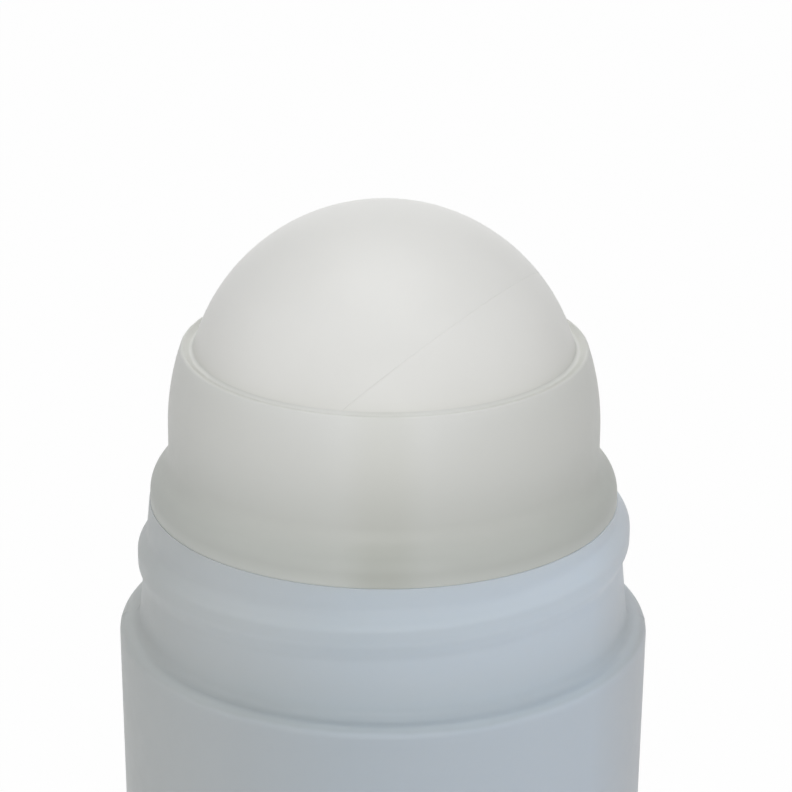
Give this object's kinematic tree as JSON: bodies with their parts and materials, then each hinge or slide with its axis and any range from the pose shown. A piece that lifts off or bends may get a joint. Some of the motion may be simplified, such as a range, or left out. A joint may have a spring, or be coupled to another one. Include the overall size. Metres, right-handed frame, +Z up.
{
  "type": "roll-on bottle",
  "caption": "Round plastic roll-on dispenser: a threaded bottle with a snap-in ball housing, a free-rolling hollow ball under its lip, and the liquid inside.",
  "frame": {"origin": "centre of the ring that the bottle stands on, at table height", "axes": "+Z up along the bottle's axis, towards the ball; -Y towards the viewer; +X to the viewer's right"},
  "size_m": [0.0484, 0.0484, 0.09],
  "materials": {
    "bottle_plastic": "satin blown high-density polyethylene, bluish white",
    "housing_plastic": "natural milky moulded polyethylene",
    "ball_plastic": "ground and polished natural polypropylene",
    "liquid": "milky liquid, at rest"
  },
  "bodies": {
    "container": {"bottle": "bottle_plastic", "ball_housing": "housing_plastic", "liquid_fill": "liquid"},
    "ball": {"ball_upper_shell": "ball_plastic", "ball_lower_shell": "ball_plastic"}
  },
  "joints": [
    {"name": "ball_roll", "type": "hinge", "parent": "container", "child": "ball", "pos_m": [0, 0, 0.0723], "axis": [1, 0, 0], "continuous": true}
  ]
}
